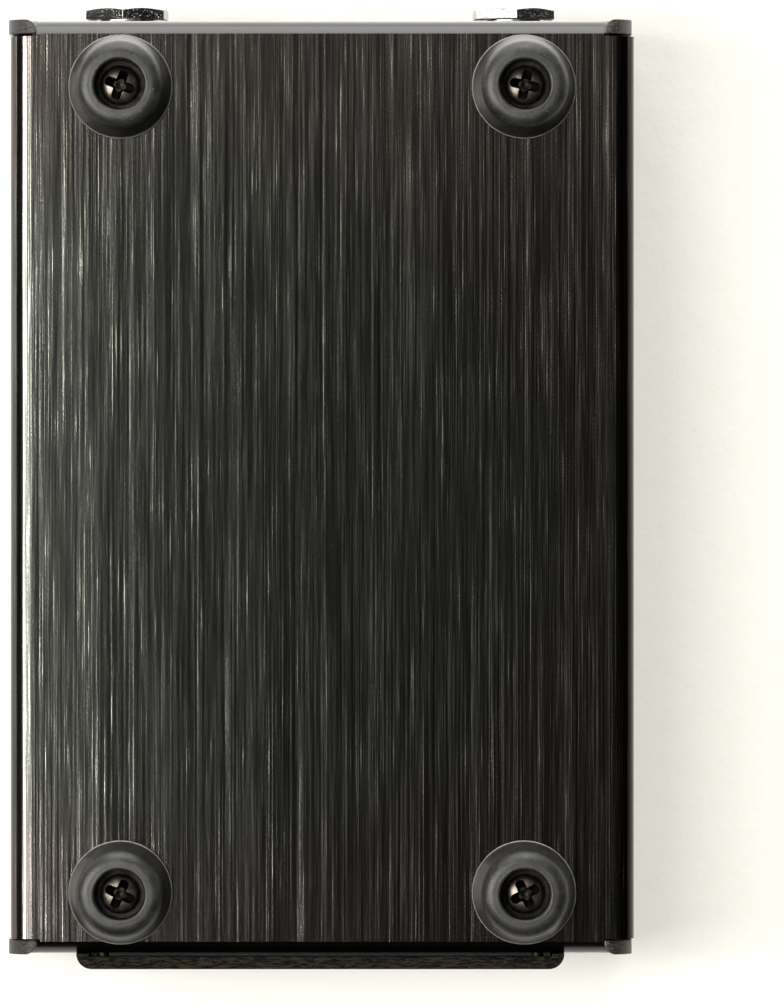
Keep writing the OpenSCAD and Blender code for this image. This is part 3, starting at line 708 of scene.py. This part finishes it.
# %% The punch
WINGS = [(2.85, 0.82, -0.3), (2.55, 0.74, 0.15), (1.0, 0.44, 1.6)]
CORE = [(ON_AXIS, -0.4), (1.25, -0.4), (0.55, 1.8), (ON_AXIS, 1.95)]


def wing_outline(half_long, half_wide, height):
    """A long shape with round ends, as wide as the wing at that height."""
    points = []
    for side in (0, 180):
        for k in range(7):
            angle = math.radians(side - 90 + 30 * k)
            shift = (half_long - half_wide) * (1 if side == 0 else -1)
            points.append((shift + half_wide * math.cos(angle), half_wide * math.sin(angle), height))
    return points


def punch_wings(levels):
    """The solid of two crossed wings, from their half length and half width at each height."""
    shape = bmesh.new()
    for quarter in (0, 1):
        turn = Matrix.Rotation(math.pi / 2 * quarter, 3, "Z")
        wing = []
        for half_long, half_wide, height in levels:
            for point in wing_outline(half_long, half_wide, height):
                wing.append(shape.verts.new(turn @ Vector(point) * MM))
        bmesh.ops.convex_hull(shape, input=wing)
    return placed("punch", finished_mesh("punch", shape))


cutters = [punch_wings(WINGS), spun("core", lambda turn: CORE, Vector((0, 0, 0)), 24)]
# The punch carries the painted shade into the walls it cuts.
for cutter in cutters:
    cutter.data.materials.append(recess_painted_shade)
print("cutters:", [cutter.name for cutter in cutters])

# %% [markdown]
# ## One screw, pressed
#
# The punch is cut out of the head with the Boolean modifier. It hands the punch's own material, the
# painted shade, to the walls that it cuts, so the recess comes out painted dark. A small bevel after
# it gives the pressed rim that shines.

# %% One screw with a pressed recess
def pressed_screw(length):
    screw = spun("screw", lambda turn: screw_profile(length), Vector((0, 0, 0)), 64)
    shape = bmesh.new()
    shape.from_mesh(screw.data)
    bmesh.ops.remove_doubles(shape, verts=shape.verts, dist=0.01 * MM)
    bmesh.ops.holes_fill(shape, edges=shape.edges)
    bmesh.ops.recalc_face_normals(shape, faces=shape.faces)
    shape.to_mesh(screw.data)
    shape.free()
    screw.data.materials.append(finishes["black_screw"])
    for cutter in cutters:
        cut = screw.modifiers.new("recess", "BOOLEAN")
        cut.object = cutter
        cut.solver = "EXACT"
        cut.use_self = True
        cut.material_mode = "TRANSFER"
    bevel = screw.modifiers.new("rim", "BEVEL")
    bevel.width = 0.06 * MM
    bevel.segments = 2
    bevel.limit_method = "ANGLE"
    bevel.angle_limit = math.radians(35)
    settle(screw)
    for cutter in cutters:
        bpy.data.objects.remove(cutter)
    return screw


pattern = pressed_screw(shank_long)
print("one screw's faces:", len(pattern.data.polygons))

# %% [markdown]
# ## Four screws
#
# A screw stops where it is tight, so no two crosses stand alike. The pattern screw is copied into
# one mesh four times, each turned by its own angle and placed under its own foot. One mesh is right
# here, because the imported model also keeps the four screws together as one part.

# %% Four screws, each stopped at its own angle
HEAD_TURNS = {"foot_1": 20, "foot_2": 12, "foot_3": 24, "foot_4": 64}
together = bmesh.new()
for name, turn in HEAD_TURNS.items():
    foot_low, foot_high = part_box(name)
    middle = (foot_low + foot_high) / 2
    before = len(together.verts)
    together.from_mesh(pattern.data)
    together.verts.ensure_lookup_table()
    place = Matrix.Translation((middle.x, middle.y, head_z)) @ Matrix.Rotation(
        math.radians(turn), 4, "Z")
    bmesh.ops.transform(together, matrix=place, verts=together.verts[before:])
screw_mesh = finished_mesh("foot_screw_set", together)
for material in pattern.data.materials:
    screw_mesh.materials.append(material)
bpy.data.objects.remove(pattern)
screw_set = placed("foot_screw_set", screw_mesh)
settle(screw_set)
hand_over(screw_set, "foot_screws")

# %% [markdown]
# ## The white table and the floor
#
# The box lies on its top on a white table, and other views stand it on its feet on a pale floor.
# So there are two sheets, one at the level of the top and one at the level of the feet. Each is
# white on the side that faces the box and clear on its back, so that neither ever hides the box.
# The floor is seen only by the camera, because light has to reach the underside through it. The
# table has a window below the box: a sheet there would only shine on the hidden top.
#
# The table glows a little, so that it stays white where the box shades it, and it glows more beyond
# the jack end, where the bright nuts and the rounded lip mirror it.

# %% Table and floor
SHEET_HALF = 3.0
CORNERS = ((-1, -1), (1, -1), (1, 1), (-1, 1))
JACK_END_GLOW = (73, 90)
PLATE_END_GLOW = (71, 78)


def stage_sheet(name, height, faces_up, window=None):
    """A flat sheet that isn't part of the object. window is half the size of a hole, if it has one."""
    shape = bmesh.new()

    def corners(half_x, half_y):
        return [shape.verts.new((x * half_x, y * half_y, height)) for x, y in CORNERS]

    outer = corners(SHEET_HALF, SHEET_HALF)
    if window:
        inner = corners(*window)
        for k in range(4):
            shape.faces.new((outer[k], outer[(k + 1) % 4], inner[(k + 1) % 4], inner[k]))
    else:
        shape.faces.new(outer)
    if not faces_up:
        bmesh.ops.reverse_faces(shape, faces=shape.faces)
    sheet = placed(name, finished_mesh(name, shape))
    sheet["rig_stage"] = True
    return sheet


def one_sided_white(name, level, glow):
    """White with that level on its front, clear on its back."""
    white = Finish(name, Specular_IOR_Level=0.1, Roughness=0.9, Emission_Strength=glow)
    fibre = white.grain((0.25, 0.25, 0.25), 5, 0.6)
    along = white.axis("Y")
    beyond = white.rise(along, *JACK_END_GLOW) + white.rise(along * -1, *PLATE_END_GLOW) * 0.07
    white.feed(
        Base_Color=white.blend(fibre, grey(level * 0.97, 0.03), grey(level, 0.02)),
        Emission_Color=white.blend(beyond, (0.2, 0.195, 0.175, 1), (1, 0.99, 0.97, 1)),
        Normal=white.relief(fibre, 0.3))
    behind = white.add("ShaderNodeNewGeometry", out="Backfacing")
    front = Reading(white, white.shader.outputs[0])
    clear = white.add("ShaderNodeBsdfTransparent")
    mixed = white.add("ShaderNodeMixShader", None, {0: behind, 1: front, 2: clear})
    white.join(mixed, white.tree.nodes["Material Output"].inputs[0])
    return white.done()


def seen_only_by_camera(thing):
    for ray in ("visible_shadow", "visible_diffuse", "visible_glossy", "visible_transmission"):
        setattr(thing, ray, False)


table_top = stage_sheet(
    "table_top", high.z + 0.1 * MM, False, (high.x - 2.5 * MM, high.y - 6 * MM))
table_top.data.materials.append(one_sided_white("table_white", 0.34, 2.5))
table_top.visible_shadow = False
floor = stage_sheet("floor", low.z - 0.05 * MM, True)
floor.data.materials.append(one_sided_white("floor_white", 0.8, 0))
seen_only_by_camera(floor)

# %% [markdown]
# ## The backdrop
#
# Past the edge of the table and the floor the camera sees a large pale ball. It could be a bright
# world instead, but that would also light the box. The ball is seen by the camera alone and shines
# on nothing, so the room can stay nearly dark.

# %% A pale backdrop far round the set
ball = bmesh.new()
bmesh.ops.create_icosphere(ball, subdivisions=4, radius=4.0)
bmesh.ops.reverse_faces(ball, faces=ball.faces)
backdrop = placed("backdrop", finished_mesh("backdrop", ball))
backdrop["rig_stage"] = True
pale_ball = Finish(
    "backdrop_pale", Roughness=1.0, Base_Color=grey(0.0), Emission_Color=grey(0.86, 0.008),
    Emission_Strength=1.0)
backdrop.data.materials.append(pale_ball.done())
seen_only_by_camera(backdrop)

# %% [markdown]
# ## Light
#
# One wide soft lamp, side_lamp, stands to the side of the camera. It is what the brushed sheet
# smears across its grain, what draws the white line along one bend, and what throws the soft shadow
# on the table. end_lamp stands low beyond the jack end and lights the folded lip there. Three weak
# ones open the blacks: room_fill has no reflection of its own, ceiling_glow is the pale ceiling that
# the rubber and the screws mirror, and end_glow lifts the jack half of the sheet. The rest of the
# room is nearly dark, so the far side of the box stays black. The last two lamps stand above the
# table, for the views from above.

# %% Soft lamps
AIM = Vector((0, 0, 20 * MM))


def soft_lamp(name, towards, distance, size, strength, tint, shines=True):
    """A rectangular lamp in the direction towards, facing the box. size is across and along, m."""
    lamp = bpy.data.lights.new(name, "AREA")
    lamp.shape = "RECTANGLE"
    lamp.size, lamp.size_y = size
    lamp.energy = strength * size[0] * size[1]
    lamp.color = tint
    holder = placed(name, lamp)
    holder.visible_glossy = shines
    way = Vector(towards).normalized()
    across = Vector((0, 1, 0)) if abs(way.y) < 0.5 else Vector((1, 0, 0))
    side = across.cross(way).normalized()
    up = way.cross(side).normalized()
    facing = Matrix((side, up, way)).transposed().to_4x4()
    holder.matrix_world = Matrix.Translation(AIM + way * distance) @ facing
    print(name, "watts:", round(lamp.energy, 1))


def heading(degrees, letter):
    """A direction below the box, that many degrees from straight down towards +X or +Y."""
    angle = math.radians(degrees)
    if letter == "X":
        return (math.sin(angle), 0, -math.cos(angle))
    return (0, math.sin(angle), -math.cos(angle))


soft_lamp("side_lamp", heading(28.5, "X"), 1.0, (0.79, 0.4), 54, (1, 0.985, 0.96))
soft_lamp("end_lamp", heading(68, "Y"), 1.0, (1.0, 0.8), 21, (1, 0.99, 0.97))
soft_lamp("room_fill", (-0.15, 0.1, -1), 1.6, (2.4, 2.4), 3.0, (1, 0.975, 0.9), shines=False)
soft_lamp("ceiling_glow", (0, 0, -1), 2.2, (1.9, 1.9), 0.5, (1, 0.99, 0.9))
soft_lamp("end_glow", heading(15, "Y"), 1.2, (0.9, 0.42), 2.4, (1, 0.94, 0.88))
soft_lamp("upper_lamp", (0.5, -0.6, 1.0), 1.6, (1.2, 1.2), 14, (1, 0.985, 0.96))
soft_lamp("upper_fill", (-0.8, 0.5, 0.7), 1.8, (1.4, 1.4), 5, (0.95, 0.98, 1))

# %% [markdown]
# ## The room
#
# A world colour reaches every crevice alike, so it is kept very low. It only stops the deepest
# shade from being pure black, as the walls of a real room would.

# %% A nearly dark room
world = bpy.data.worlds.new("dim_room")
world.use_nodes = True
room = world.node_tree.nodes["Background"]
room.inputs["Color"].default_value = grey(1.0, 0.02)
room.inputs["Strength"].default_value = 0.015
bpy.context.scene.world = world
print("room strength:", round(room.inputs["Strength"].default_value, 4))

# %% [markdown]
# ## Measure and finish
#
# The finer pieces have to keep to the imported model's size. The box around everything is measured
# once more, and how far its top corner has grown past the first one is printed.

# %% Measure the box again and finish
visual_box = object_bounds()
grown = [new - old for new, old in zip(visual_box[1], cad_box[1])]
print("grown at the top corner, mm:", [round(step / MM, 3) for step in grown])
